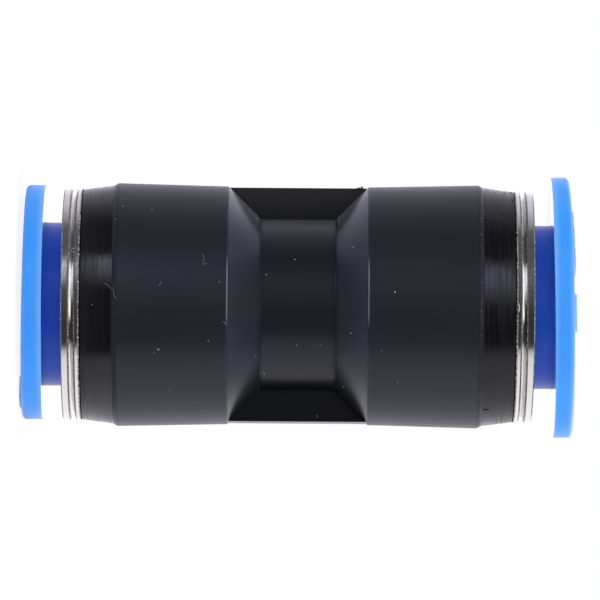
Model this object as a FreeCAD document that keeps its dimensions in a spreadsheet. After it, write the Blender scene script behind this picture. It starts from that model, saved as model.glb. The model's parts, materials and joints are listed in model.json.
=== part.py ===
# Straight push-in tube connector for 12 mm tube, standing on its lower end.
# Millimetres. The axis is +Z and the origin lies on the floor below the middle.
import FreeCAD, Part
import os
import Sketcher

START = 1
END = 2
ORIGIN = (-1, 1)

# Driving sizes. Radii and places further on are worked out from these.
SIZES = {
    # the tube and the bores that take it
    "tube_dia": 12.0,
    "tube_room": 0.1,
    "stop_thick": 2.4,
    "flow_dia": 9.5,
    "socket_depth": 6.4,
    "socket_lead": 0.3,
    # release sleeve
    "neck_wall": 0.95,
    "bead_height": 0.45,
    "bead_len": 0.85,
    "flange_gap": 1.7,
    "flange_thick": 1.85,
    "flange_short_reach": 3.05,
    "flange_long_reach": 4.2,
    "flange_round": 0.45,
    "mouth_lead": 0.35,
    "press_travel": 1.6,
    "nose_land": 0.2,
    "slot_width": 1.2,
    "slot_cover": 1.8,
    "slot_count": 4,
    "mark_reach": 1.9,
    "mark_width": 1.7,
    "mark_wide_width": 3.2,
    "mark_height": 0.2,
    "mark_inset": 1.07,
    # guide ring
    "skirt_wall": 0.9,
    "retainer_len": 2.56,
    "barb_count": 3,
    "barb_pitch": 0.9,
    "barb_depth": 0.12,
    "lip_inner": 0.45,
    "groove_width": 0.45,
    "groove_depth": 0.5,
    "groove_round": 0.1,
    "lip_outer": 0.67,
    "lip_bevel": 0.1,
    "ring_proud": 0.06,
    # claw ring
    "claw_sheet": 0.3,
    "claw_bite": 0.12,
    "finger_reach": 1.52,
    "finger_count": 12,
    "finger_gap": 0.5,
    # spacer ring and seal
    "spacer_len": 2.2,
    "finger_space": 0.5,
    "seal_len": 3.6,
    "seal_squeeze": 0.12,
    # housing
    "waist_len": 6.4,
    "waist_wall": 1.35,
    "barrel_len": 9.57,
    "barrel_draft": 0.225,
    "band_len": 3.0,
    "band_wall": 1.36,
    "band_taper": 0.38,
    "band_step": 0.19,
    "step_len": 0.2,
    "chamber_step": 0.15,
    "web_thick": 1.8,
    "web_drop": 0.125,
    "step_bevel": 0.12,
    "shoulder_bevel": 0.08,
    "waist_bevel": 0.06,
    # clearances
    "sleeve_room": 0.1,
    "bead_room": 0.15,
    "bead_play": 0.05,
    "nose_room": 0.15,
    "fit_room": 0.02,
    "claw_play": 0.04,
    "claw_side_room": 0.1,
    "spacer_room": 0.1,
}

# Degrees round the axis, from the oval's long side, to the raised marks on a flange's
# face: a row of narrow ones, a wide one, and the same again a turn further on.
NARROW_MARKS = (217, 232, 248)
WIDE_MARK = 280
MARK_GROUP_TURN = -115

# Radii, from the tube outwards.
TUBE_R = "(dims.tube_dia / 2)"
BORE_R = f"({TUBE_R} + dims.tube_room)"
NECK_R = f"({BORE_R} + dims.neck_wall)"
BEAD_R = f"({NECK_R} + dims.bead_height)"
RETAINER_R = f"({NECK_R} + dims.sleeve_room)"
BEAD_CHAMBER_R = f"({BEAD_R} + dims.bead_room)"
SKIRT_R = f"({BEAD_CHAMBER_R} + dims.skirt_wall)"
POCKET_R = f"({SKIRT_R} + dims.fit_room)"
CHAMBER_R = f"({SKIRT_R} - dims.chamber_step)"
MOUTH_R = f"({POCKET_R} + dims.band_wall)"
BAND_R = f"({MOUTH_R} + dims.band_taper)"
BARREL_R = f"({BAND_R} + dims.band_step)"
SHOULDER_R = f"({BARREL_R} - dims.barrel_draft)"
WAIST_R = f"({BORE_R} + dims.waist_wall)"
WEB_R = f"({SHOULDER_R} - dims.web_drop)"
HEAD_R = f"({MOUTH_R} + dims.ring_proud)"
CLAW_TIP_R = f"({TUBE_R} - dims.claw_bite)"
CLAW_BEND_R = f"({CLAW_TIP_R} + dims.finger_reach)"
CLAW_RIM_R = f"({CHAMBER_R} - dims.claw_side_room)"
SHORT_R = f"({NECK_R} + dims.flange_short_reach)"
LONG_R = f"({NECK_R} + dims.flange_long_reach)"

# Heights along the axis, from the middle of the connector to one end.
STOP_Z = "(dims.stop_thick / 2)"
SEAL_Z = f"({STOP_Z} + dims.socket_depth)"
SPACER_Z = f"({SEAL_Z} + dims.seal_len)"
CLAW_SEAT_Z = f"({SPACER_Z} + dims.spacer_len)"
CLAW_Z = f"({CLAW_SEAT_Z} + dims.claw_play)"
CLAW_TOP_Z = f"({CLAW_Z} + dims.claw_sheet)"
SKIRT_Z = f"({CLAW_TOP_Z} + dims.claw_play)"
WAIST_Z = "(dims.waist_len / 2)"
SHOULDER_Z = f"({WAIST_Z} + {SHOULDER_R} - {WAIST_R})"
STEP_Z = f"({SHOULDER_Z} + dims.barrel_len)"
BAND_Z = f"({STEP_Z} + dims.step_len)"
MOUTH_Z = f"({STEP_Z} + dims.band_len)"
GROOVE_Z = f"({MOUTH_Z} + dims.lip_inner)"
LIP_Z = f"({GROOVE_Z} + dims.groove_width)"
HEAD_Z = f"({LIP_Z} + dims.lip_outer)"
RETAINER_Z = f"({HEAD_Z} - dims.retainer_len)"
FLANGE_Z = f"({HEAD_Z} + dims.flange_gap)"
FACE_Z = f"({FLANGE_Z} + dims.flange_thick)"
MARK_Z = f"({FACE_Z} + dims.mark_height)"
BEAD_TOP_Z = f"({RETAINER_Z} - dims.bead_play)"
BEAD_Z = f"({BEAD_TOP_Z} - dims.bead_len)"
# The 45 degree nose stays just clear of the 45 degree fingers at full press.
NOSE_RISE = f"({CLAW_TOP_Z} - {CLAW_BEND_R} + dims.nose_room + dims.press_travel)"
SLOT_TOP_Z = f"({HEAD_Z} - dims.slot_cover)"


doc = FreeCAD.newDocument("tube_connector")
sheet = doc.addObject("Spreadsheet::Sheet", "dims")
for row, (word, size) in enumerate(SIZES.items(), start=1):
    sheet.set(f"A{row}", word)
    sheet.set(f"B{row}", str(size))
    sheet.setAlias(f"B{row}", word)
doc.recompute()


def value(expression):
    """The number that an expression of sheet sizes gives."""
    return float(sheet.evalExpression(expression))


def new_body(label):
    """An empty sub-part with its own label."""
    body = doc.addObject("PartDesign::Body", label)
    body.Label = label
    return body


def origin_feature(body, role):
    """A plane or an axis of the body's own origin."""
    return next(item for item in body.Origin.OriginFeatures if item.Role == role)


def new_sketch(body, name, role, height=None):
    """A sketch on one of the body's planes, lifted to a height where one is given."""
    sketch = body.newObject("Sketcher::SketchObject", f"{name}_{body.Name}")
    sketch.AttachmentSupport = [(origin_feature(body, role), "")]
    sketch.MapMode = "FlatFace"
    if height:
        sketch.setExpression("AttachmentOffset.Base.z", height)
    return sketch


def bind(sketch, kind, first, second, expression):
    """A measured constraint between two points, tied to the sheet."""
    number = sketch.addConstraint(Sketcher.Constraint(kind, *first, *second, value(expression)))
    sketch.setExpression(f"Constraints[{number}]", expression)


def draw_outline(sketch, corners):
    """A closed outline of straight edges through corners given as expressions."""
    points = [FreeCAD.Vector(value(across), value(along), 0) for across, along in corners]
    first_edge = sketch.GeometryCount
    count = len(points)
    for number in range(count):
        sketch.addGeometry(Part.LineSegment(points[number], points[(number + 1) % count]), False)
    for number in range(count):
        edge = first_edge + number
        next_edge = first_edge + (number + 1) % count
        sketch.addConstraint(Sketcher.Constraint("Coincident", edge, END, next_edge, START))
    for number, (across, along) in enumerate(corners):
        corner = (first_edge + number, START)
        bind(sketch, "DistanceX", ORIGIN, corner, across)
        bind(sketch, "DistanceY", ORIGIN, corner, along)


def draw_circle(sketch, radius):
    """A circle about the axis."""
    circle = Part.Circle(FreeCAD.Vector(0, 0, 0), FreeCAD.Vector(0, 0, 1), value(radius))
    number = sketch.addGeometry(circle, False)
    sketch.addConstraint(Sketcher.Constraint("Coincident", number, 3, *ORIGIN))
    size = sketch.addConstraint(Sketcher.Constraint("Radius", number, value(radius)))
    sketch.setExpression(f"Constraints[{size}]", radius)


def draw_oval(sketch, long_radius, short_radius):
    """An ellipse about the axis, its long side along X."""
    centre = FreeCAD.Vector(0, 0, 0)
    long_end = FreeCAD.Vector(value(long_radius), 0, 0)
    short_end = FreeCAD.Vector(0, value(short_radius), 0)
    number = sketch.addGeometry(Part.Ellipse(long_end, short_end, centre), False)
    sketch.exposeInternalGeometry(number)
    long_axis = number + 1
    short_axis = number + 2
    sketch.addConstraint(Sketcher.Constraint("Coincident", number, 3, *ORIGIN))
    sketch.addConstraint(Sketcher.Constraint("Horizontal", long_axis))
    for axis, radius in ((long_axis, long_radius), (short_axis, short_radius)):
        size = sketch.addConstraint(Sketcher.Constraint("Distance", axis, 2 * value(radius)))
        sketch.setExpression(f"Constraints[{size}]", f"2 * {radius}")


def revolve(body, name, corners):
    """A ring turned about the axis from corners given as radius and height."""
    sketch = new_sketch(body, f"{name}_profile", "XZ_Plane")
    draw_outline(sketch, corners)
    turned = body.newObject("PartDesign::Revolution", f"{name}_{body.Name}")
    turned.Profile = sketch
    turned.ReferenceAxis = (sketch, ["V_Axis"])
    turned.Angle = 360
    doc.recompute()
    return turned


def pad(body, name, sketch, length):
    """The sketch raised along its normal."""
    raised = body.newObject("PartDesign::Pad", f"{name}_{body.Name}")
    raised.Profile = sketch
    raised.setExpression("Length", length)
    doc.recompute()
    return raised


def pocket(body, name, sketch, length):
    """The sketch cut along its normal."""
    cut = body.newObject("PartDesign::Pocket", f"{name}_{body.Name}")
    cut.Profile = sketch
    cut.Reversed = True
    cut.setExpression("Length", length)
    doc.recompute()
    return cut


def repeat_round(body, name, feature, count):
    """Copies of a feature spaced evenly about the axis."""
    pattern = body.newObject("PartDesign::PolarPattern", f"{name}_{body.Name}")
    pattern.Originals = [feature]
    pattern.Axis = (origin_feature(body, "Z_Axis"), [""])
    pattern.Angle = 360
    pattern.setExpression("Occurrences", count)
    body.Tip = pattern
    doc.recompute()
    return pattern


def round_edges(feature, rings, near=1e-4):
    """Names of the circular edges that lie at the given radii and heights."""
    names = []
    for number, edge in enumerate(feature.Shape.Edges, start=1):
        if not isinstance(edge.Curve, Part.Circle):
            continue
        for radius, height in rings:
            same_radius = abs(edge.Curve.Radius - value(radius)) < near
            same_height = abs(edge.Curve.Center.z - value(height)) < near
            if same_radius and same_height:
                names.append(f"Edge{number}")
    return names


def soften(body, name, kind, feature, edges, size):
    """A fillet or a chamfer on named edges."""
    softened = body.newObject(f"PartDesign::{kind}", f"{name}_{body.Name}")
    softened.Base = (feature, edges)
    softened.setExpression("Radius" if kind == "Fillet" else "Size", size)
    doc.recompute()
    return softened


def make_housing(label):
    """The moulded body: two barrels, cones, waist, webs and the stepped bore."""
    body = new_body(label)
    outside = [
        (WAIST_R, WAIST_Z),
        (SHOULDER_R, SHOULDER_Z),
        (BARREL_R, STEP_Z),
        (BAND_R, BAND_Z),
        (MOUTH_R, MOUTH_Z),
    ]
    inside = [
        (POCKET_R, MOUTH_Z),
        (POCKET_R, SKIRT_Z),
        (CHAMBER_R, SKIRT_Z),
        (CHAMBER_R, SEAL_Z),
        (f"{BORE_R} + dims.socket_lead", SEAL_Z),
        (BORE_R, f"{SEAL_Z} - dims.socket_lead"),
        (BORE_R, STOP_Z),
        ("dims.flow_dia / 2", STOP_Z),
    ]
    upper = outside + inside
    lower = [(radius, f"-({height})") for radius, height in reversed(upper)]
    turned = revolve(body, "shell", upper + lower)

    def both(radius, height):
        """The same ring in the upper and in the lower half."""
        return [(radius, height), (radius, f"-{height}")]

    eased = turned
    for name, radius, height in (
        ("step", BARREL_R, STEP_Z),
        ("shoulder", SHOULDER_R, SHOULDER_Z),
        ("waist", WAIST_R, WAIST_Z),
    ):
        corners = round_edges(eased, both(radius, height))
        eased = soften(body, name, "Chamfer", eased, corners, f"dims.{name}_bevel")

    # A web fills the valley between the cones, on both sides, in the mould's plane.
    # Its slanted ends and its foot reach into the wall of the cones and the waist.
    foot = f"({WAIST_R} - dims.waist_wall / 3)"
    sunk = f"({WAIST_Z} - {WAIST_R} + dims.waist_wall / 4)"
    web = new_sketch(body, "web_profile", "XZ_Plane", "-dims.web_thick / 2")
    draw_outline(web, [
        (foot, f"-({foot} + {sunk})"),
        (WEB_R, f"-({WEB_R} + {sunk})"),
        (WEB_R, f"{WEB_R} + {sunk}"),
        (foot, f"{foot} + {sunk}"),
    ])
    plate = pad(body, "web", web, "dims.web_thick")
    repeat_round(body, "webs", plate, "2")
    return body


def make_guide_ring(label):
    """The plated ring: a barbed skirt inside, a grooved head outside."""
    body = new_body(label)
    groove_r = f"({HEAD_R} - dims.groove_depth)"
    groove_foot = (groove_r, f"{GROOVE_Z} + dims.groove_width / 4")
    groove_head = (groove_r, f"{LIP_Z} - dims.groove_width / 4")
    barb_root_r = f"({SKIRT_R} - dims.barb_depth)"
    corners = [
        (BEAD_CHAMBER_R, SKIRT_Z),
        (barb_root_r, SKIRT_Z),
    ]
    # Each barb rises gently from the skirt's end and drops square behind its crest.
    for number in range(int(value("dims.barb_count"))):
        crest_z = f"{SKIRT_Z} + {number + 1} * dims.barb_pitch"
        corners.append((SKIRT_R, crest_z))
        corners.append((barb_root_r, crest_z))
    corners += [
        (barb_root_r, f"{SKIRT_Z} + (dims.barb_count + 1) * dims.barb_pitch"),
        (SKIRT_R, f"{SKIRT_Z} + (dims.barb_count + 1) * dims.barb_pitch + dims.barb_depth"),
        (SKIRT_R, MOUTH_Z),
        (HEAD_R, MOUTH_Z),
        (HEAD_R, GROOVE_Z),
        groove_foot,
        groove_head,
        (HEAD_R, LIP_Z),
        (HEAD_R, HEAD_Z),
        (f"{RETAINER_R} + dims.socket_lead", HEAD_Z),
        (RETAINER_R, f"{HEAD_Z} - dims.socket_lead"),
        (RETAINER_R, RETAINER_Z),
        (BEAD_CHAMBER_R, RETAINER_Z),
    ]
    turned = revolve(body, "ring", corners)
    lips = round_edges(turned, [(HEAD_R, GROOVE_Z), (HEAD_R, LIP_Z), (HEAD_R, HEAD_Z)])
    eased = soften(body, "lips", "Chamfer", turned, lips, "dims.lip_bevel")
    floor = round_edges(eased, [groove_foot, groove_head])
    soften(body, "groove_floor", "Fillet", eased, floor, "dims.groove_round")
    return body


def make_claw_ring(label):
    """Spring steel ring with fingers that lean inward to bite the tube."""
    body = new_body(label)
    # A 45 degree sheet is as thick along the axis as its own thickness by root two.
    slant = "(dims.claw_sheet * sqrt(2))"
    tip_z = f"({CLAW_TOP_Z} - dims.finger_reach)"
    turned = revolve(body, "cone", [
        (CLAW_RIM_R, CLAW_Z),
        (CLAW_RIM_R, CLAW_TOP_Z),
        (CLAW_BEND_R, CLAW_TOP_Z),
        (CLAW_TIP_R, tip_z),
        (CLAW_TIP_R, f"{tip_z} - {slant}"),
        (f"{CLAW_BEND_R} + {slant} - dims.claw_sheet", CLAW_Z),
    ])
    gap = new_sketch(body, "gap_profile", "XY_Plane")
    half_gap = "dims.finger_gap / 2"
    draw_outline(gap, [
        (f"{CLAW_TIP_R} / 2", f"-{half_gap}"),
        (CLAW_BEND_R, f"-{half_gap}"),
        (CLAW_BEND_R, half_gap),
        (f"{CLAW_TIP_R} / 2", half_gap),
    ])
    before = turned.Shape.Volume
    cut = pocket(body, "gap", gap, CLAW_TOP_Z)
    if not cut.Shape.Volume < before:
        raise RuntimeError("the gap between the fingers cuts nothing")
    repeat_round(body, "gaps", cut, "dims.finger_count")
    return body


def make_spacer_ring(label):
    """The ring that holds the seal in and gives the fingers room below them."""
    body = new_body(label)
    bore = f"({BORE_R} + dims.spacer_room)"
    outer = f"({CHAMBER_R} - dims.fit_room)"
    seat = f"({CLAW_BEND_R} + dims.finger_space)"
    revolve(body, "ring", [
        (bore, SPACER_Z),
        (outer, SPACER_Z),
        (outer, CLAW_SEAT_Z),
        (seat, CLAW_SEAT_Z),
        (bore, f"{CLAW_SEAT_Z} - ({seat} - {bore})"),
    ])
    return body


def make_seal(label):
    """The lip seal: a solid back, an outer wall, and a lip that leans on the tube."""
    body = new_body(label)
    outer = f"({CHAMBER_R} - dims.fit_room)"
    lip_tip = f"({TUBE_R} - dims.seal_squeeze)"
    section = f"({outer} - {BORE_R})"
    revolve(body, "ring", [
        (f"{BORE_R} + {section} * 0.06", f"{SEAL_Z} + dims.seal_len * 0.55"),
        (f"{BORE_R} + {section} * 0.06", f"{SEAL_Z} + dims.seal_len * 0.85"),
        (f"{BORE_R} + {section} * 0.2", SPACER_Z),
        (outer, SPACER_Z),
        (outer, SEAL_Z),
        (f"{BORE_R} + {section} * 0.62", SEAL_Z),
        (f"{BORE_R} + {section} * 0.52", f"{SEAL_Z} + dims.seal_len * 0.45"),
        (f"{BORE_R} + {section} * 0.36", f"{SEAL_Z} + dims.seal_len * 0.45"),
        (f"{BORE_R} + {section} * 0.12", f"{SEAL_Z} + dims.seal_len * 0.08"),
        (lip_tip, f"{SEAL_Z} + dims.seal_len * 0.14"),
    ])
    return body


def make_release_sleeve(label):
    """The release sleeve: oval flange, neck, snap bead, slots and conical nose."""
    body = new_body(label)
    land = f"({BORE_R} + dims.nose_land)"
    neck = revolve(body, "neck", [
        (BORE_R, f"{NOSE_RISE} + {land}"),
        (land, f"{NOSE_RISE} + {land}"),
        (NECK_R, f"{NOSE_RISE} + {NECK_R}"),
        (NECK_R, f"{BEAD_Z} - dims.bead_height"),
        (BEAD_R, BEAD_Z),
        (BEAD_R, BEAD_TOP_Z),
        (NECK_R, BEAD_TOP_Z),
        (NECK_R, FLANGE_Z),
        (BORE_R, FLANGE_Z),
    ])
    half_slot = "dims.slot_width / 2"
    slot = new_sketch(body, "slot_profile", "XY_Plane")
    draw_outline(slot, [
        (f"{BORE_R} / 2", f"-{half_slot}"),
        (f"{BEAD_R} + dims.bead_height", f"-{half_slot}"),
        (f"{BEAD_R} + dims.bead_height", half_slot),
        (f"{BORE_R} / 2", half_slot),
    ])
    before = neck.Shape.Volume
    cut = pocket(body, "slot", slot, SLOT_TOP_Z)
    if not cut.Shape.Volume < before:
        raise RuntimeError("the slot in the sleeve cuts nothing")
    repeat_round(body, "slots", cut, "dims.slot_count")

    oval = new_sketch(body, "flange_profile", "XY_Plane", FLANGE_Z)
    draw_oval(oval, LONG_R, SHORT_R)
    draw_circle(oval, BORE_R)
    flange = pad(body, "flange", oval, "dims.flange_thick")
    mouth = round_edges(flange, [(BORE_R, FACE_Z)])
    flange = soften(body, "mouth", "Chamfer", flange, mouth, "dims.mouth_lead")
    face_z = value(FACE_Z)
    rim = [
        f"Edge{number}"
        for number, edge in enumerate(flange.Shape.Edges, start=1)
        if isinstance(edge.Curve, Part.Ellipse) and abs(edge.Curve.Center.z - face_z) < 1e-4
    ]
    flange = soften(body, "rim", "Fillet", flange, rim, "dims.flange_round")

    for turn in (0, MARK_GROUP_TURN):
        for angle in NARROW_MARKS:
            raise_mark(body, angle + turn, "dims.mark_width")
        raise_mark(body, WIDE_MARK + turn, "dims.mark_wide_width")
    return body


def raise_mark(body, angle, width):
    """A plain raised bar on the flange's face, at an angle round the axis."""
    mark_r = f"({SHORT_R} - dims.mark_inset)"
    mark = new_sketch(body, f"mark_profile_{angle}", "XY_Plane", FACE_Z)
    mark.setExpression("AttachmentOffset.Rotation.Angle", str(angle))
    draw_outline(mark, [
        (f"{mark_r} - dims.mark_reach", f"-{width} / 2"),
        (mark_r, f"-{width} / 2"),
        (mark_r, f"{width} / 2"),
        (f"{mark_r} - dims.mark_reach", f"{width} / 2"),
    ])
    pad(body, f"mark_{angle}", mark, "dims.mark_height")


def place(body, turned_over=False, turned_round=0):
    """Put a sub-part at mid height, turned over for the lower end."""
    spin = FreeCAD.Rotation(FreeCAD.Vector(0, 0, 1), turned_round)
    flip = FreeCAD.Rotation(FreeCAD.Vector(1, 0, 0), 180 if turned_over else 0)
    body.Placement = FreeCAD.Placement(FreeCAD.Vector(0, 0, 0), flip.multiply(spin))
    body.setExpression(".Placement.Base.z", MARK_Z)


parts = [make_housing("housing")]
place(parts[0])
makers = {
    "guide_ring": make_guide_ring,
    "claw_ring": make_claw_ring,
    "spacer_ring": make_spacer_ring,
    "seal": make_seal,
    "release_sleeve": make_release_sleeve,
}
for end, is_lower in (("lower", True), ("upper", False)):
    for name, make in makers.items():
        part = make(f"{name}_{end}")
        # The sleeves turn freely. At rest the lower one lies a quarter turn from the upper.
        place(part, is_lower, 90 if name == "release_sleeve" and is_lower else 0)
        parts.append(part)
doc.recompute()

for item in doc.Objects:
    if "Invalid" in item.State or "Error" in item.State:
        raise RuntimeError(f"{item.Name} failed: {item.State}")
for part in parts:
    shape = part.Shape
    if shape.isNull() or not shape.isValid() or len(shape.Solids) != 1:
        raise RuntimeError(f"{part.Label} is not one valid solid")

os.makedirs("parts", exist_ok=True)
for part in parts:
    part.Shape.exportStep(f"parts/{part.Label}.step")
    print(part.Label, round(part.Shape.Volume, 2), part.Shape.BoundBox)
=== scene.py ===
import json
import math
import random

import bmesh
import bpy
from mathutils import Matrix, Vector
from mathutils.bvhtree import BVHTree


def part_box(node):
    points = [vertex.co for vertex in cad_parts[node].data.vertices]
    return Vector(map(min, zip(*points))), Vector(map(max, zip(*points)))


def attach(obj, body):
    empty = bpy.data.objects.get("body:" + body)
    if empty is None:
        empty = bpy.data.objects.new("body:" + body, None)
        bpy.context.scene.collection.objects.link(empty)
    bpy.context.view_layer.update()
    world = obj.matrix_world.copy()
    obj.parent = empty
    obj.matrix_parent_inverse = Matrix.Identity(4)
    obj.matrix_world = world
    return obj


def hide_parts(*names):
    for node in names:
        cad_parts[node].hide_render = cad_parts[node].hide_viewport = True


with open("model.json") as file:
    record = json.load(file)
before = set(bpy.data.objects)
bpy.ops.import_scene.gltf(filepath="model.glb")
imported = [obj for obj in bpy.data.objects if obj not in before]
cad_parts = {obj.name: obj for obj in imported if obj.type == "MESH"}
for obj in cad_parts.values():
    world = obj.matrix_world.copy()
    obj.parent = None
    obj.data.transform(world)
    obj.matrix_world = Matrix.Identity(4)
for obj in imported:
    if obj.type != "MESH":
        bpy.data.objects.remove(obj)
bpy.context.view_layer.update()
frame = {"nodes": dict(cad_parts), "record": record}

MM = 0.001

# The photograph's frame and where the connector lies in it, in pixels.
FRAME_PX = 600
PX_PER_MM = 11.57
CENTRE_PX = (297.9, 305.8)

# The camera looks along +Y from a little towards +X, so that one web shows its edge.
CAMERA_AZIMUTH = math.radians(7.0)
CAMERA_ROLL = math.radians(0.4)
CAMERA_DISTANCE = 520 * MM
SENSOR = 36.0

# Sizes of the connector. Its levels are distances from its middle along the axis, the
# same towards both ends, and start from the boxes of its solids.
housing_low, housing_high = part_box("housing")
_, ring_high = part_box("guide_ring_upper")
_, sleeve_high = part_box("release_sleeve_upper")
MIDDLE = (housing_low.z + housing_high.z) / 2
MOUTH = housing_high.z - MIDDLE
HEAD = ring_high.z - MIDDLE
HEAD_R = ring_high.y
BAND_LEN = 3.0 * MM
BAND_STEP_LEN = 0.2 * MM
BARREL_LEN = 9.57 * MM
BAND_STEP = MOUTH - BAND_LEN
BAND_FOOT = BAND_STEP + BAND_STEP_LEN
SHOULDER = BAND_STEP - BARREL_LEN
FLANGE_THICK = 1.85 * MM
MARK_HEIGHT = 0.2 * MM
FLANGE = sleeve_high.z - MIDDLE - MARK_HEIGHT - FLANGE_THICK
FLANGE_OUTER = FLANGE + FLANGE_THICK
LIP_OUTER = 0.67 * MM
GROOVE_WIDTH = 0.45 * MM
LIP = HEAD - LIP_OUTER
GROOVE = LIP - GROOVE_WIDTH
NECK_R = 7.05 * MM
WAIST_HALF = 3.24 * MM
WEB_HALF = 0.95 * MM

toward_camera = Vector((math.sin(CAMERA_AZIMUTH), -math.cos(CAMERA_AZIMUTH), 0))
picture_right = Vector((0, 0, 1))
picture_up = toward_camera.cross(picture_right)


def new_object(name, data):
    """A new object in the scene."""
    made = bpy.data.objects.new(name, data)
    bpy.context.scene.collection.objects.link(made)
    return made


def make_camera():
    """A long lens at the photograph's angle: the axis runs across the picture."""
    view_width = FRAME_PX / PX_PER_MM * MM
    centre = Vector((0, 0, MIDDLE))
    across = (FRAME_PX / 2 - CENTRE_PX[0]) / PX_PER_MM * MM
    along = (CENTRE_PX[1] - FRAME_PX / 2) / PX_PER_MM * MM
    data = bpy.data.cameras.new("camera")
    data.sensor_width = SENSOR
    data.lens = SENSOR * CAMERA_DISTANCE / view_width
    data.clip_start = 0.01
    data.clip_end = 10.0
    camera = new_object("camera", data)
    turn = Matrix((picture_right, picture_up, toward_camera)).transposed()
    roll = Matrix.Rotation(CAMERA_ROLL, 3, "Z")
    camera.rotation_euler = (turn @ roll).to_euler()
    camera.location = (
        centre + toward_camera * CAMERA_DISTANCE + picture_right * across + picture_up * along
    )
    bpy.context.scene.camera = camera


class Graph:
    """A short way to write one shader's nodes."""

    def __init__(self, owner):
        owner.use_nodes = True
        self.tree = owner.node_tree
        self.tree.nodes.clear()

    def node(self, kind, inputs=None, **settings):
        """A node with its settings and inputs; an input is a value or another socket."""
        made = self.tree.nodes.new(kind)
        for name, setting in settings.items():
            setattr(made, name, setting)
        for name, given in (inputs or {}).items():
            socket = made.inputs[name]
            if isinstance(given, bpy.types.NodeSocket):
                self.tree.links.new(given, socket)
            else:
                socket.default_value = given
        return made

    def math(self, operation, first, second=0.0, third=0.0):
        """The result of one sum on values or sockets."""
        made = self.node("ShaderNodeMath", {0: first, 1: second, 2: third}, operation=operation)
        return made.outputs[0]

    def add(self, base, share, amount):
        """A value that grows by an amount where the share is 1."""
        return self.math("MULTIPLY_ADD", share, amount, base)

    def product(self, *factors):
        """The product of shares: 1 only where each of them is 1."""
        result = factors[0]
        for factor in factors[1:]:
            result = self.math("MULTIPLY", result, factor)
        return result

    def opposite(self, share):
        """1 where the share is 0, and 0 where it is 1."""
        return self.math("SUBTRACT", 1.0, share)

    def gap(self, value, level):
        """Distance of a value from a level, either way."""
        return self.math("ABSOLUTE", self.math("SUBTRACT", value, level))

    def rise(self, value, start, end):
        """0 at start, 1 at end, and a smooth rise between; start may lie above end."""
        made = self.node(
            "ShaderNodeMapRange",
            {"Value": value, "From Min": start, "From Max": end},
            interpolation_type="SMOOTHSTEP",
        )
        return made.outputs["Result"]

    def window(self, value, start, full, fading, end):
        """0 below start, 1 from full to fading, and 0 again above end."""
        return self.product(self.rise(value, start, full), self.rise(value, end, fading))

    def mix(self, factor, first, second):
        """A value between two values."""
        return self.node("ShaderNodeMix", {0: factor, 2: first, 3: second}).outputs[0]

    def blend(self, factor, first, second):
        """A colour between two colours."""
        inputs = {0: factor, 6: first, 7: second}
        return self.node("ShaderNodeMix", inputs, data_type="RGBA").outputs[2]

    def vector_math(self, operation, first, second=(0, 0, 0)):
        """The outputs of one sum on vectors: a vector and a value."""
        inputs = {0: first, 1: second}
        return self.node("ShaderNodeVectorMath", inputs, operation=operation).outputs

    def noise(self, vector, scale, detail=2.0, roughness=0.5):
        """Fractal noise from 0 to 1 at so many features a metre."""
        made = self.node(
            "ShaderNodeTexNoise",
            {"Vector": vector, "Scale": scale, "Detail": detail, "Roughness": roughness},
        )
        return made.outputs["Fac"]

    def bump(self, strength, depth, height):
        """A normal that shows small relief."""
        inputs = {"Strength": strength, "Distance": depth, "Height": height}
        return self.node("ShaderNodeBump", inputs).outputs[0]


def colour(red, green, blue):
    """A shader colour."""
    return (red, green, blue, 1.0)


# Brightness of the room round the connector's axis, as the photograph's reflections show
# it: degrees from the camera's side, positive towards the picture's lower edge.
ROOM = [
    (-180, 1.35),
    (-172, 1.25),
    (-164, 1.12),
    (-150, 0.92),
    (-130, 0.66),
    (-114, 0.60),
    (-102, 0.44),
    (-90, 0.28),
    (-81, 0.10),
    (-62, 0.08),
    (-40, 0.08),
    (-10, 0.05),
    (10, 0.03),
    (40, 0.025),
    (45, 0.48),
    (52, 0.74),
    (72, 0.82),
    (110, 0.92),
    (150, 1.03),
    (164, 1.06),
    (180, 1.35),
]
UPPER_TINT = (0.93, 0.91, 1.09)
LOWER_TINT = (0.97, 0.95, 1.05)

# Two lamp strips that only the tapered bands mirror: degrees round the axis at which each
# starts, is full, starts to fade and ends.
LOWER_STRIP = (-46, -37, -36, -12)
UPPER_STRIP = (-48, -36, -31, 4)
LOWER_STRIP_COLOUR = colour(2.2, 2.25, 2.8)
UPPER_STRIP_COLOUR = colour(1.85, 1.90, 2.45)
SIDE_LAMP_COLOUR = colour(1.2, 1.2, 1.2)
ENDS_COLOUR = colour(0.42, 0.43, 0.54)

# Where those parts of the room lie along the axis, towards the camera and down the
# picture, as shares of a direction of length 1.
BRIGHTER_ALONG = (0.28, 0.5)
BRIGHTER_GAIN = 0.3
ENDS_ALONG = (0.5, 0.85)
LOWER_STRIP_ALONG = (0.3, 0.42, 0.56, 0.70)
UPPER_STRIP_ALONG = (0.12, 0.2, 0.34, 0.42)
SIDE_LAMP_ALONG = (0.36, 0.48)
SIDE_LAMP_FRONT = (0.15, 0.35)
SIDE_LAMP_DOWN = (-0.7, -0.55, 0.15, 0.3)


def strip_share(graph, turn, strip):
    """1 inside a strip of the room, fading out at its sides."""
    return graph.window(turn, *(math.radians(limit) for limit in strip))


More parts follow.
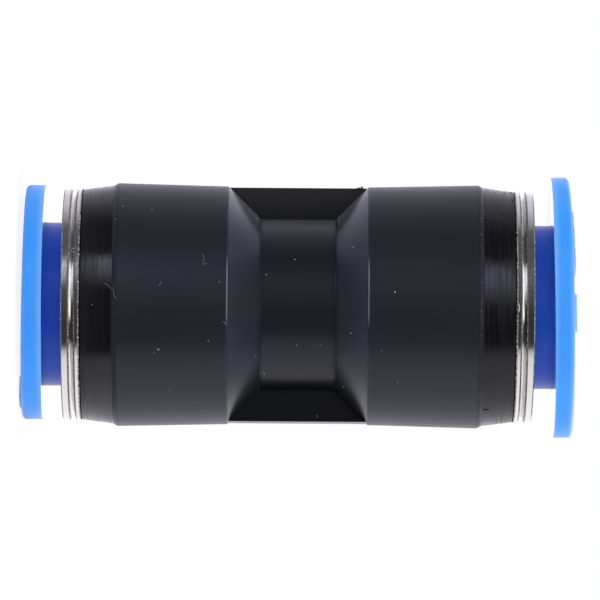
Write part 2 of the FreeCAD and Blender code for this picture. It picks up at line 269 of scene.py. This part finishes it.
def room_colour(graph, sight, on_floor):
    """The room's colour in a direction, for the rays that gloss and metal send out."""

    def share(axis):
        return graph.vector_math("DOT_PRODUCT", sight, axis)["Value"]

    down = share(-picture_up)
    front = share(toward_camera)
    turn = graph.math("ARCTAN2", down, front)
    place = graph.math("MULTIPLY_ADD", turn, 1 / (2 * math.pi), 0.5)
    ramp = graph.node("ShaderNodeValToRGB", {"Fac": place})
    stops = ramp.color_ramp.elements
    while len(stops) < len(ROOM):
        stops.new(0.5)
    for stop, (degrees, level) in zip(stops, ROOM):
        tint = UPPER_TINT if degrees < 0 else LOWER_TINT
        stop.position = degrees / 360 + 0.5
        stop.color = colour(*(level * part for part in tint))

    # The room is brighter a little to either side of the camera's plane, and of one
    # colour all round beyond the connector's ends.
    upward = share(picture_right)
    along = graph.math("ABSOLUTE", upward)
    gain = graph.add(1.0, graph.rise(along, *BRIGHTER_ALONG), BRIGHTER_GAIN)
    gained = graph.node(
        "ShaderNodeVectorMath", {0: ramp.outputs["Color"], "Scale": gain}, operation="SCALE"
    ).outputs[0]
    ended = graph.blend(graph.rise(along, *ENDS_ALONG), gained, ENDS_COLOUR)
    if on_floor:
        beside = graph.window(along, *LOWER_STRIP_ALONG)
        shown = graph.product(strip_share(graph, turn, LOWER_STRIP), beside)
        return graph.blend(shown, ended, LOWER_STRIP_COLOUR)
    tilted = graph.window(upward, *UPPER_STRIP_ALONG)
    shown = graph.product(strip_share(graph, turn, UPPER_STRIP), tilted)
    striped = graph.blend(shown, ended, UPPER_STRIP_COLOUR)
    lamp = graph.product(
        graph.rise(along, *SIDE_LAMP_ALONG),
        graph.rise(front, *SIDE_LAMP_FRONT),
        graph.window(down, *SIDE_LAMP_DOWN),
    )
    return graph.blend(lamp, striped, SIDE_LAMP_COLOUR)


def make_world():
    """A white room: even light for matt surfaces, the photograph's pattern for gloss."""
    fill_strength = 1.1
    world = bpy.data.worlds.new("room")
    bpy.context.scene.world = world
    world.cycles.sampling_method = "NONE"
    graph = Graph(world)
    sight = graph.node("ShaderNodeTexCoord").outputs["Generated"]
    path = graph.node("ShaderNodeLightPath")
    white = colour(1, 1, 1)
    seen = graph.node("ShaderNodeBackground", {"Color": white, "Strength": 1.0})
    mirrored = graph.node(
        "ShaderNodeBackground", {"Color": room_colour(graph, sight, False), "Strength": 1.0}
    )
    fill = graph.node("ShaderNodeBackground", {"Color": white, "Strength": fill_strength})
    soft = graph.node(
        "ShaderNodeMixShader",
        {0: path.outputs["Is Glossy Ray"], 1: fill.outputs[0], 2: mirrored.outputs[0]},
    )
    whole = graph.node(
        "ShaderNodeMixShader",
        {0: path.outputs["Is Camera Ray"], 1: soft.outputs[0], 2: seen.outputs[0]},
    )
    graph.node("ShaderNodeOutputWorld", {"Surface": whole.outputs[0]})


def make_floor():
    """A pale floor that keeps the soft shadow and mirrors as the room does."""
    sides = 96
    radius = 400 * MM
    mesh = bpy.data.meshes.new("floor")
    corners = []
    for step in range(sides):
        angle = 2 * math.pi * step / sides
        corners.append((radius * math.cos(angle), radius * math.sin(angle), 0))
    mesh.from_pydata(corners, [], [list(range(sides))])
    floor = new_object("floor", mesh)
    material = bpy.data.materials.new("floor")
    graph = Graph(material)
    path = graph.node("ShaderNodeLightPath")
    place = graph.node("ShaderNodeTexCoord").outputs["Object"]
    from_centre = graph.vector_math("SUBTRACT", place, (0, 0, MIDDLE))[0]
    sight = graph.vector_math("NORMALIZE", from_centre)[0]
    mirrored = graph.node(
        "ShaderNodeEmission", {"Color": room_colour(graph, sight, True), "Strength": 1.0}
    )

    # The camera sees a dark matt floor under a strong glow, so its shadows are faint. The
    # connector meets a paler one that glows less and throws its light back.
    camera = path.outputs["Is Camera Ray"]
    pale = graph.blend(camera, colour(0.6, 0.6, 0.6), colour(0.15, 0.15, 0.15))
    matt = graph.node("ShaderNodeBsdfDiffuse", {"Color": pale})
    lift = graph.add(0.32, camera, 0.55)
    glow = graph.node("ShaderNodeEmission", {"Color": colour(1, 1, 1), "Strength": lift})
    lit = graph.node("ShaderNodeAddShader", {0: matt.outputs[0], 1: glow.outputs[0]})
    whole = graph.node(
        "ShaderNodeMixShader",
        {0: path.outputs["Is Glossy Ray"], 1: lit.outputs[0], 2: mirrored.outputs[0]},
    )
    graph.node("ShaderNodeOutputMaterial", {"Surface": whole.outputs[0]})
    mesh.materials.append(material)


def object_place(graph):
    """The surface point in the part's own frame, and its parts."""
    place = graph.node("ShaderNodeTexCoord").outputs["Object"]
    split = graph.node("ShaderNodeSeparateXYZ", {0: place})
    return place, split.outputs


def from_middle(graph, parts):
    """Distance along the axis from the connector's middle, either way."""
    return graph.gap(parts["Z"], MIDDLE)


def from_axis(graph, parts):
    """The way from the axis straight out to the surface point, and its length."""
    across = graph.node("ShaderNodeCombineXYZ", {"X": parts["X"], "Y": parts["Y"]}).outputs[0]
    return across, graph.vector_math("LENGTH", across)["Value"]


def facing_along(graph):
    """How far the surface faces along the axis, either way, from 0 to 1."""
    normal = graph.node("ShaderNodeTexCoord").outputs["Normal"]
    parts = graph.node("ShaderNodeSeparateXYZ", {0: normal}).outputs
    return graph.math("ABSOLUTE", parts["Z"])


def round_about(graph, parts, stretch):
    """A noise place that changes quickly along the axis and slowly around it."""
    return graph.node(
        "ShaderNodeCombineXYZ",
        {
            "X": graph.math("MULTIPLY", parts["X"], stretch),
            "Y": graph.math("MULTIPLY", parts["Y"], stretch),
            "Z": parts["Z"],
        },
    ).outputs[0]


def finish_surface(graph, looks):
    """The material's surface, and its output."""
    surface = graph.node("ShaderNodeBsdfPrincipled", looks)
    graph.node("ShaderNodeOutputMaterial", {"Surface": surface.outputs[0]})


# Colours of the housing. The waist and the cones are lighter beside the web on one side,
# where it throws light back, and darker on the other, where it keeps the light away.
BARREL_COLOUR = colour(0.011, 0.0132, 0.022)
BAND_COLOUR = colour(0.0035, 0.0035, 0.005)
WEB_COLOUR = colour(0.003, 0.0035, 0.005)
# The web's face is painted lighter towards its outer edge: painted light.
WEB_EDGE_LIGHT_COLOUR = colour(0.018, 0.018, 0.024)
WAIST_COLOURS = {
    "open": colour(0.007, 0.009, 0.015),
    "shaded": colour(0.003, 0.0035, 0.005),
    "lit": colour(0.060, 0.062, 0.078),
}
CONE_COLOURS = {
    "open": colour(0.020, 0.0215, 0.031),
    "shaded": colour(0.008, 0.009, 0.012),
    "lit": colour(0.085, 0.088, 0.105),
}
# A painted highlight along the shoulders' edges on the camera's side.
SHOULDER_HIGHLIGHT_COLOUR = colour(0.22, 0.22, 0.25)
# Dust, and the painted glints along the band steps, share this colour.
DUST_AND_GLINT_COLOUR = colour(0.30, 0.30, 0.32)


def specks(graph, place, cell, size, share):
    """Small round specks, one in some of the cells of a random pattern."""
    cells = graph.node(
        "ShaderNodeTexVoronoi", {"Vector": place, "Scale": 1 / cell}, feature="F1"
    )
    near = graph.math("LESS_THAN", cells.outputs["Distance"], size / cell)
    red = graph.node("ShaderNodeSeparateColor", {0: cells.outputs["Color"]}).outputs[0]
    chosen = graph.math("LESS_THAN", red, share)
    return graph.product(near, chosen)


def housing_zones(graph, parts, away):
    """How far the surface point lies in each zone of the housing, from 0 to 1."""
    off_web = graph.rise(graph.math("ABSOLUTE", parts["Y"]), WEB_HALF, WEB_HALF + 0.3 * MM)
    waist = graph.rise(away, WAIST_HALF, WAIST_HALF - 0.1 * MM)
    waist_corner = graph.rise(graph.gap(away, WAIST_HALF), 0.26 * MM, 0.1 * MM)
    slope = graph.window(
        away, WAIST_HALF - 0.02 * MM, WAIST_HALF + 0.2 * MM, SHOULDER - 0.2 * MM, SHOULDER
    )
    between_barrels = graph.rise(away, SHOULDER, SHOULDER - 0.2 * MM)
    return {
        "band": graph.rise(away, BAND_FOOT, BAND_FOOT + 0.08 * MM),
        "barrel": graph.rise(away, SHOULDER - 0.1 * MM, SHOULDER),
        "cone": graph.product(slope, off_web),
        "waist": graph.product(waist, off_web),
        "waist_corner": graph.product(waist_corner, off_web),
        "web": graph.product(between_barrels, graph.opposite(off_web)),
    }


def moulding_colour(graph, parts, zones):
    """The colour of the clean moulding, with the web's light and shade painted beside it, and
    painted light towards the web's outer edge.
    """
    from_web = graph.math("SUBTRACT", graph.math("ABSOLUTE", parts["Y"]), WEB_HALF)
    beside_web = graph.rise(from_web, 4.0 * MM, 1.4 * MM)
    lit_side = graph.rise(parts["X"], 0.0, -MM)

    def face(colours):
        near = graph.blend(lit_side, colours["shaded"], colours["lit"])
        return graph.blend(beside_web, colours["open"], near)

    web_edge_light = graph.rise(parts["X"], -6.5 * MM, -10.5 * MM)
    web = graph.blend(web_edge_light, WEB_COLOUR, WEB_EDGE_LIGHT_COLOUR)
    mixed = graph.blend(zones["waist"], BARREL_COLOUR, face(WAIST_COLOURS))
    mixed = graph.blend(zones["web"], mixed, web)
    mixed = graph.blend(zones["cone"], mixed, face(CONE_COLOURS))
    return graph.blend(zones["band"], mixed, BAND_COLOUR)


def dust_and_painted_highlights(graph, place, parts, away, cloud, clean):
    """The moulding with a painted highlight on the shoulders on the camera's side, dust, and
    painted glints dotted along the band steps.
    """
    # Painted highlight: the shoulders' edges on the camera's side are lighter where a lamp
    # would mirror in them.
    highlight_side = graph.rise(parts["Y"], -9.7 * MM, -10.15 * MM)
    shoulder = graph.rise(graph.gap(away, SHOULDER), 0.08 * MM, 0.03 * MM)
    with_shoulder_highlight = graph.blend(graph.product(highlight_side, cloud, shoulder), clean, SHOULDER_HIGHLIGHT_COLOUR)
    dust = graph.math(
        "MAXIMUM",
        specks(graph, place, 2.2 * MM, 0.035 * MM, 0.20),
        specks(graph, place, 0.9 * MM, 0.02 * MM, 0.16),
    )
    # Painted glints: bright dots along the band steps.
    step_glints = graph.product(
        graph.rise(graph.gap(away, BAND_STEP), 0.08 * MM, 0.04 * MM),
        graph.rise(graph.noise(place, 6400, 1.0), 0.68, 0.80),
    )
    return graph.blend(graph.math("MAXIMUM", dust, step_glints), with_shoulder_highlight, DUST_AND_GLINT_COLOUR)


def moulding_roughness(graph, parts, away, cloud, zones):
    """Matt faces, and bands that are polished in streaks, duller at the upper end."""
    moulded = graph.add(0.21, zones["barrel"], 0.10)
    plainer = graph.add(moulded, zones["waist"], 0.10)
    matt = graph.add(plainer, cloud, 0.10)
    near_ring = graph.rise(away, BAND_FOOT, MOUTH)
    upper_end = graph.rise(parts["Z"], MIDDLE - MM, MIDDLE + MM)
    dulled = graph.add(graph.add(0.08, near_ring, 0.07), upper_end, 0.06)
    streaks = graph.noise(round_about(graph, parts, 0.05), 4200, 3.0, 0.6)
    polished = graph.add(dulled, graph.rise(streaks, 0.40, 0.62), 0.15)
    return graph.mix(zones["band"], matt, polished)


def moulding_shine(graph, away, zones):
    """How much mirrors: the bands' rims and steps and the waist's corners are dull."""
    off_rim = graph.rise(away, MOUTH - 0.06 * MM, MOUTH - 0.16 * MM)
    off_corner = graph.add(1.0, zones["waist_corner"], -0.5)
    off_step = graph.rise(graph.gap(away, BAND_STEP), 0.16 * MM, 0.26 * MM)
    return graph.product(off_rim, off_corner, graph.add(0.28, off_step, 0.22))


def black_plastic():
    """Black moulding: matt spark-eroded barrels, glossy end bands, fine dust, a painted
    highlight on the shoulders, painted glints on the steps, and painted light and shade by the
    web.
    """
    material = bpy.data.materials.new("black_body")
    graph = Graph(material)
    place, parts = object_place(graph)
    away = from_middle(graph, parts)
    zones = housing_zones(graph, parts, away)
    cloud = graph.noise(place, 180, 2.0)
    clean = moulding_colour(graph, parts, zones)
    grain = graph.noise(place, 6000, 3.0)
    polish = graph.noise(round_about(graph, parts, 0.06), 5200, 3.0)
    fine = graph.mix(zones["band"], grain, polish)
    finish_surface(
        graph,
        {
            "Base Color": dust_and_painted_highlights(graph, place, parts, away, cloud, clean),
            "Roughness": moulding_roughness(graph, parts, away, cloud, zones),
            "IOR": 1.47,
            "Specular IOR Level": moulding_shine(graph, away, zones),
            "Normal": graph.bump(0.35, 0.02 * MM, fine),
        },
    )
    return material


# The levels of the ring's outer edges, and how far from each the edge is rough.
RING_EDGES = ((MOUTH, 0.13 * MM), (GROOVE, 0.08 * MM), (LIP, 0.08 * MM), (HEAD, 0.11 * MM))
RING_EDGE_FADE = 0.05 * MM
NICKEL_COLOUR = colour(0.93, 0.90, 0.80)
# The ring's edges are coloured dark, with painted glints on them.
DARK_EDGE_COLOUR = colour(0.05, 0.05, 0.05)
PAINTED_GLINT_COLOUR = colour(0.70, 0.69, 0.68)
# Painted shade in the lips' corners beside the groove.
LIP_CORNER_SHADE_COLOUR = colour(0.09, 0.085, 0.08)


def nickel_plate():
    """Bright nickel over turned brass, with turning marks, a rough edge coloured dark with
    painted glints, and painted shade in the groove's corners.
    """
    material = bpy.data.materials.new("nickel")
    graph = Graph(material)
    place, parts = object_place(graph)
    away = from_middle(graph, parts)
    across, radius = from_axis(graph, parts)
    turning = graph.noise(round_about(graph, parts, 0.04), 14000, 2.0)
    pits = graph.noise(place, 7000, 3.0, 0.6)
    height = graph.add(graph.product(pits, 0.5), turning, 0.5)
    edge = 0.0
    for level, reach in RING_EDGES:
        near = graph.rise(graph.gap(away, level), reach, reach - RING_EDGE_FADE)
        edge = graph.math("MAXIMUM", edge, near)
    edge = graph.product(edge, graph.rise(radius, HEAD_R - 0.3 * MM, HEAD_R - 0.15 * MM))
    # Painted glints: bright specks on the dark, less metallic edges.
    glints = graph.rise(graph.noise(place, 9000, 2.0), 0.48, 0.64)
    dark_edge_and_glints = graph.blend(glints, DARK_EDGE_COLOUR, PAINTED_GLINT_COLOUR)
    bright = graph.blend(edge, NICKEL_COLOUR, dark_edge_and_glints)

    # The lips' rounded corners beside the groove get painted shade: a dark colour and less
    # metal.
    in_groove = graph.window(
        away, GROOVE - 0.06 * MM, GROOVE + 0.02 * MM, LIP - 0.02 * MM, LIP + 0.06 * MM
    )
    beside = graph.window(
        away, GROOVE - 0.2 * MM, GROOVE - 0.15 * MM, LIP + 0.15 * MM, LIP + 0.2 * MM
    )
    turning_in = graph.rise(facing_along(graph), 0.1, 0.3)
    corner = graph.product(turning_in, beside, graph.opposite(in_groove))
    base = graph.blend(corner, bright, LIP_CORNER_SHADE_COLOUR)
    plated = graph.add(1.0, graph.math("MAXIMUM", corner, edge), -0.85)
    bump = graph.bump(graph.add(0.2, edge, 0.5), 0.02 * MM, height)

    # The groove's floor is hollow, and its fine ridges lean towards the upper end.
    outward = graph.vector_math("NORMALIZE", across)[0]
    facet = graph.node("ShaderNodeCombineXYZ", {"Z": graph.add(0.13, turning, 0.3)}).outputs[0]
    turned = graph.node(
        "ShaderNodeVectorTransform",
        {"Vector": graph.vector_math("ADD", outward, facet)[0]},
        vector_type="NORMAL",
        convert_from="OBJECT",
        convert_to="WORLD",
    ).outputs[0]
    facing = graph.node(
        "ShaderNodeMix", {0: in_groove, 4: bump, 5: turned}, data_type="VECTOR"
    ).outputs[1]
    finish_surface(
        graph,
        {
            "Base Color": base,
            "Metallic": plated,
            "Roughness": graph.add(0.08, pits, 0.12),
            "Normal": facing,
        },
    )
    return material


# The neck's deeper blue is painted shade under the flange and ring.
NECK_SHADE_COLOUR = colour(0.002, 0.10, 0.66)
FLANGE_COLOURS = (colour(0.030, 0.31, 0.98), colour(0.045, 0.35, 1.0))
# Painted light on the flange's faces and outer edge.
FLANGE_FACE_LIGHT_COLOUR = colour(0.17, 0.43, 0.97)
FLANGE_EDGE_LIGHT_COLOUR = colour(0.36, 0.58, 1.0)

# The flanges' middle plane lies this much further in, because their outer faces are
# trimmed.
CORE_SHIFT = 0.09 * MM


def blue_plastic():
    """Translucent blue moulding, with painted shade that deepens the neck's blue and painted
    light on the thick flange.
    """
    material = bpy.data.materials.new("release_blue")
    graph = Graph(material)
    place, parts = object_place(graph)
    away = from_middle(graph, parts)
    _, radius = from_axis(graph, parts)
    outside_neck = graph.rise(radius, NECK_R + 0.04 * MM, NECK_R + 0.14 * MM)
    past_neck = graph.rise(away, FLANGE + 0.2 * MM, FLANGE + 0.3 * MM)
    flange = graph.math("MAXIMUM", outside_neck, past_neck)
    cloud = graph.noise(place, 350, 2.0)
    bright = graph.blend(cloud, *FLANGE_COLOURS)

    # The flange is painted paler towards its two faces, and palest at its outer edge and marks:
    # painted light shining through it.
    from_core = graph.gap(away, FLANGE + FLANGE_THICK / 2 - CORE_SHIFT)
    thin = graph.product(graph.rise(from_core, 0.3 * MM, 0.86 * MM), 0.8)
    edged = graph.blend(thin, bright, FLANGE_FACE_LIGHT_COLOUR)
    outermost = graph.rise(away, FLANGE_OUTER - 0.32 * MM, FLANGE_OUTER - 0.12 * MM)
    lit_through = graph.blend(outermost, edged, FLANGE_EDGE_LIGHT_COLOUR)
    base = graph.blend(flange, NECK_SHADE_COLOUR, lit_through)

    # The flange's inner face is glossy and mirrors the ring; the rest is satin.
    satin = graph.add(0.27, cloud, 0.1)
    inner_side = graph.rise(away, FLANGE + 0.4 * MM, FLANGE + 0.3 * MM)
    facing_end = graph.rise(facing_along(graph), 0.9, 0.97)
    inner_face = graph.product(outside_neck, inner_side, facing_end)
    finish_surface(
        graph,
        {
            "Base Color": base,
            "Roughness": graph.mix(inner_face, satin, 0.08),
            "IOR": 1.48,
            "Subsurface Weight": 0.35,
            "Subsurface Radius": (0.2, 0.5, 1.0),
            "Subsurface Scale": 1.0 * MM,
            "Normal": graph.bump(0.15, 0.02 * MM, cloud),
        },
    )
    return material


def plain_surface(name, base, roughness, metallic=0.0, grain=4000):
    """A plain material with a little unevenness, for pieces inside and for wear."""
    material = bpy.data.materials.new(name)
    graph = Graph(material)
    place, _ = object_place(graph)
    uneven = graph.noise(place, grain, 3.0)
    finish_surface(
        graph,
        {
            "Base Color": colour(*base),
            "Metallic": metallic,
            "Roughness": graph.add(roughness, uneven, 0.12),
            "Normal": graph.bump(0.2, 0.01 * MM, uneven),
        },
    )
    return material


# How each sleeve lies in its play: the body that it belongs to, its lean as a rise along
# the axis for each metre across, first towards the picture's upper edge and then towards
# the camera, how far its flange lies off its neck towards the picture's upper edge, and
# how much its outer face is trimmed.
SLEEVE_LEANS = {
    "release_sleeve_lower": ("lower_release", 0.013, 0.017, 0.16 * MM, 0.1 * MM),
    "release_sleeve_upper": ("upper_release", -0.019, 0.0, 0.0, 0.2 * MM),
}
# The flange's inner face leans in by no more than this over the ring's rim, so that it
# clears the ring when the sleeve is pressed in.
ROOM_WHEN_PRESSED = 0.085 * MM
TOLERANCE = 0.01 * MM


def even_rise(value, start, end):
    """0 below start, 1 above end, and an even rise between."""
    return min(max((value - start) / (end - start), 0), 1)


def lean_sleeves():
    """Stand a leaning sleeve in each end for the square one, as loose ones lie."""
    for node, (body, lean_up, lean_front, offset, trimmed) in SLEEVE_LEANS.items():
        mesh = frame["nodes"][node].data.copy()
        for vertex in mesh.vertices:
            away = abs(vertex.co.z - MIDDLE)
            held = even_rise(away, HEAD, FLANGE)
            across = Vector((vertex.co.x, vertex.co.y, 0))
            lean = lean_up * across.dot(picture_up) + lean_front * across.dot(toward_camera)
            end = math.copysign(1, vertex.co.z - MIDDLE)
            reach = away + end * lean * held - trimmed * even_rise(away, FLANGE, FLANGE_OUTER)
            if away > FLANGE - TOLERANCE:
                beyond_neck = max(across.length - NECK_R, 0) / (HEAD_R - NECK_R)
                reach = max(reach, FLANGE - ROOM_WHEN_PRESSED * beyond_neck)
            vertex.co.z = MIDDLE + end * reach
            if away > FLANGE + TOLERANCE or across.length > NECK_R + TOLERANCE:
                vertex.co += picture_up * offset * held
        piece = new_object(f"{node}_leaning", mesh)
        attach(piece, body)
        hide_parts(node)


def dress_nodes():
    """Give every CAD node its finish."""
    finishes = {
        "black_body": black_plastic(),
        "nickel": nickel_plate(),
        "release_blue": blue_plastic(),
        "claw_steel": plain_surface("claw_steel", (0.62, 0.62, 0.61), 0.25, 1.0, 9000),
        "spacer_plastic": plain_surface("spacer_plastic", (0.72, 0.71, 0.66), 0.4),
        "seal_rubber": plain_surface("seal_rubber", (0.02, 0.02, 0.021), 0.55),
    }
    for part in frame["record"]["subparts"]:
        piece = frame["nodes"][part["node"]]
        for place in piece.material_slots:
            place.material = finishes[part["material_slot"]]


# Places of wear and dirt, in the photograph's pixels, and each grain's radius in mm.
DUST_PX = {
    "lower_barrel_top": (151.9, 209.8, 0.05),
    "lower_barrel_foot": (158.3, 349.5, 0.055),
    "lower_barrel_foot_small": (154.2, 352.3, 0.028),
    "lower_barrel_low": (169.3, 390.8, 0.03),
    "lower_barrel_near_waist": (208.2, 340.8, 0.036),
    "lower_barrel_low_right": (194.2, 402.6, 0.03),
    "lower_barrel_edge": (219.4, 281.8, 0.04),
    "lower_step_top": (123.3, 206, 0.04),
    "lower_step_brow": (128, 199.7, 0.04),
    "lower_step_foot": (124.7, 422.6, 0.05),
    "lower_band": (91.9, 304.5, 0.04),
    "lower_cone_top": (256.6, 218.4, 0.04),
    "waist_left": (266.4, 274.8, 0.04),
    "waist_middle": (295, 259.5, 0.045),
    "waist_low_left": (278.2, 368.2, 0.03),
    "waist_low_middle": (296.6, 345, 0.026),
    "waist_low_right": (320, 345, 0.026),
    "waist_hook_end": (264.6, 374.0, 0.035),
    "web_foot": (317.3, 416, 0.035),
    "web_corner": (343, 386.8, 0.042),
    "web_end": (362.4, 403.4, 0.036),
    "upper_cone_top": (352.9, 247.4, 0.04),
    "upper_cone_foot": (351, 333, 0.046),
    "upper_barrel": (395, 292, 0.05),
    "upper_barrel_near_waist": (381.8, 350.8, 0.032),
    "upper_barrel_low": (397.4, 382.9, 0.034),
}
# The node that each thread lies on, its kind and the pixels that it passes.
THREADS_PX = {
    "lower_band_lint": ("housing", "lint", (
        (104.5, 283.4), (108.9, 285.6), (110.8, 289.2), (114.2, 289.6), (113.2, 293.4),
        (115.2, 297.6), (117, 299.4)
    )),
    "waist_lint": ("housing", "lint", ((261.3, 371.6), (263.5, 372.2), (264.5, 374.7))),
    "barrel_lint": ("housing", "lint", (
        (202, 253.6), (203.4, 255.9), (204.3, 258.1), (203.7, 260.4), (202.8, 262.6),
        (203.8, 264.1), (205.4, 264.3), (207.2, 263.3)
    )),
    "barrel_curl": ("housing", "lint", ((159.4, 286.5), (159.9, 283.8), (162, 281.2))),
    "barrel_scratch": ("housing", "lint", ((222.4, 321), (224.6, 322.8), (226.8, 325.5))),
    "cone_fleck": ("housing", "lint", ((255.7, 354.4), (255.7, 357.6))),
    "upper_band_fleck": ("housing", "lint", ((480.0, 233.0), (482.2, 234.9))),
    # The nick threads are near-black: painted shade of small nicks.
    "upper_band_nick_shade": ("housing", "nick_shade", ((482.6, 409.3), (486, 409.5), (489.1, 409.4))),
    "upper_rim_nick_shade_high": ("housing", "nick_shade", ((509.6, 192.6), (511.8, 193.4))),
    "upper_rim_nick_shade_low": ("housing", "nick_shade", ((511.9, 200.7), (513.6, 201.1))),
    "upper_ring_curl": ("guide_ring_upper", "swarf", (
        (517.8, 303), (519.2, 305), (519.5, 309), (518.6, 313), (516.2, 316)
    )),
    "lower_ring_chip": ("guide_ring_lower", "swarf", ((71.8, 248.4), (75.2, 248.8))),
}
THREAD_RADIUS = {"lint": 0.015 * MM, "nick_shade": 0.034 * MM, "swarf": 0.03 * MM}
THREAD_END_TAPER = 0.45
THREAD_SIDES = 6
WEB_FLASH_PX = {
    "upper_end": (
        (351, 190.6), (351, 189.4), (356, 188.4), (359.8, 187.2), (360.6, 188.6),
        (361.2, 186.5), (362.8, 186.4), (363.2, 188.8), (363.2, 190.6),
    ),
    "middle": ((314, 190.6), (314.4, 189.2), (316, 188.3), (317.6, 189.2), (318, 190.6)),
}
WEB_FLASH_THICK = 0.3 * MM
WEB_FLASH_INSET = 0.05 * MM


def pixel_ray(pixel):
    """Where the camera stands and which way it looks through a pixel."""
    camera = bpy.context.scene.camera
    scale = SENSOR / camera.data.lens / FRAME_PX
    across = (pixel[0] - FRAME_PX / 2) * scale
    down = (pixel[1] - FRAME_PX / 2) * scale
    sight = camera.rotation_euler.to_matrix() @ Vector((across, -down, -1))
    return camera.location, sight.normalized()


def surface_finder(node):
    """A function that gives the point and the normal of a node under a pixel."""
    mesh = frame["nodes"][node].data
    tree = BVHTree.FromPolygons(
        [corner.co for corner in mesh.vertices], [face.vertices for face in mesh.polygons]
    )

    def find(pixel):
        place, normal, _, _ = tree.ray_cast(*pixel_ray(pixel))
        return place, normal

    return find


def add_piece(name, mesh, material):
    """A mesh as a piece that rides on the housing."""
    piece = new_object(name, mesh)
    mesh.materials.append(material)
    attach(piece, "housing")


def scatter_dust(material):
    """Grains of dust where the photograph shows them."""
    find = surface_finder("housing")
    chance = random.Random(7)
    half_height = Matrix.Diagonal((1, 1, 0.5, 1))
    grains = bmesh.new()
    for right, down, radius in DUST_PX.values():
        place, normal = find((right, down))
        lying = normal.to_track_quat("Z", "Y").to_matrix().to_4x4() @ half_height
        size = radius * MM * chance.uniform(0.9, 1.1)
        made = bmesh.ops.create_icosphere(
            grains, subdivisions=1, radius=size, matrix=Matrix.Translation(place) @ lying
        )
        for corner in made["verts"]:
            corner.co = place + (corner.co - place) * chance.uniform(0.6, 1.3)
    mesh = bpy.data.meshes.new("dust")
    grains.to_mesh(mesh)
    grains.free()
    add_piece("dust", mesh, material)


def smooth_path(points):
    """The path with its corners cut."""
    cut = [points[0]]
    for first, second in zip(points, points[1:]):
        cut.append(first.lerp(second, 0.25))
        cut.append(first.lerp(second, 0.75))
    return cut + [points[-1]]


def lay_thread(name, node, kind, pixels, material):
    """A thread that follows a node's surface under the given pixels."""
    find = surface_finder(node)
    radius = THREAD_RADIUS[kind]
    path = smooth_path([place + normal * radius / 2 for place, normal in map(find, pixels)])
    last = len(path) - 1
    corners = []
    for number, place in enumerate(path):
        before = path[max(number - 1, 0)]
        after = path[min(number + 1, last)]
        turn = (after - before).to_track_quat("Z", "Y")
        taper = THREAD_END_TAPER if number in (0, last) else 1.0
        for side in range(THREAD_SIDES):
            angle = 2 * math.pi * side / THREAD_SIDES
            spoke = Vector((math.cos(angle), math.sin(angle), 0)) * radius * taper
            corners.append(place + turn @ spoke)
    first_end = list(range(THREAD_SIDES))[::-1]
    last_end = list(range(len(corners) - THREAD_SIDES, len(corners)))
    faces = [first_end, last_end]
    for number in range(last):
        start = number * THREAD_SIDES
        for side in range(THREAD_SIDES):
            low = start + side
            low_next = start + (side + 1) % THREAD_SIDES
            faces.append((low, low_next, low_next + THREAD_SIDES, low + THREAD_SIDES))
    mesh = bpy.data.meshes.new(name)
    mesh.from_pydata(corners, [], faces)
    add_piece(name, mesh, material)


def raise_web_flash(material):
    """Thin flash left by the mould on the web's near edge."""
    near_face = WEB_FLASH_INSET - WEB_HALF
    corners = []
    faces = []
    for outline in WEB_FLASH_PX.values():
        start = len(corners)
        count = len(outline)
        for depth in (0.0, WEB_FLASH_THICK):
            for pixel in outline:
                eye, sight = pixel_ray(pixel)
                reach = (near_face - eye.y) / sight.y
                corners.append(eye + sight * reach + Vector((0, depth, 0)))
        faces.append([start + number for number in range(count)])
        faces.append([start + count + number for number in reversed(range(count))])
        for number in range(count):
            after = (number + 1) % count
            faces.append(
                (start + after, start + number, start + count + number, start + count + after)
            )
    mesh = bpy.data.meshes.new("web_flash")
    mesh.from_pydata(corners, [], faces)
    add_piece("web_flash", mesh, material)


def add_wear(black):
    """Dust, lint, near-black threads as painted shade of nicks, and flash."""
    dust = plain_surface("dust", (0.74, 0.73, 0.76), 0.8)
    finishes = {
        "lint": plain_surface("lint", (0.22, 0.215, 0.25), 0.7),
        # The nicks' near-black colour is painted shade.
        "nick_shade": plain_surface("nick_shade", (0.004, 0.004, 0.005), 0.9),
        "swarf": plain_surface("swarf", (0.85, 0.84, 0.82), 0.3, 0.6),
    }
    scatter_dust(dust)
    for name, (node, kind, pixels) in THREADS_PX.items():
        lay_thread(name, node, kind, pixels, finishes[kind])
    raise_web_flash(black)


bpy.context.scene.view_settings.view_transform = "Standard"
make_camera()
make_world()
make_floor()
dress_nodes()
lean_sleeves()
add_wear(bpy.data.materials["black_body"])
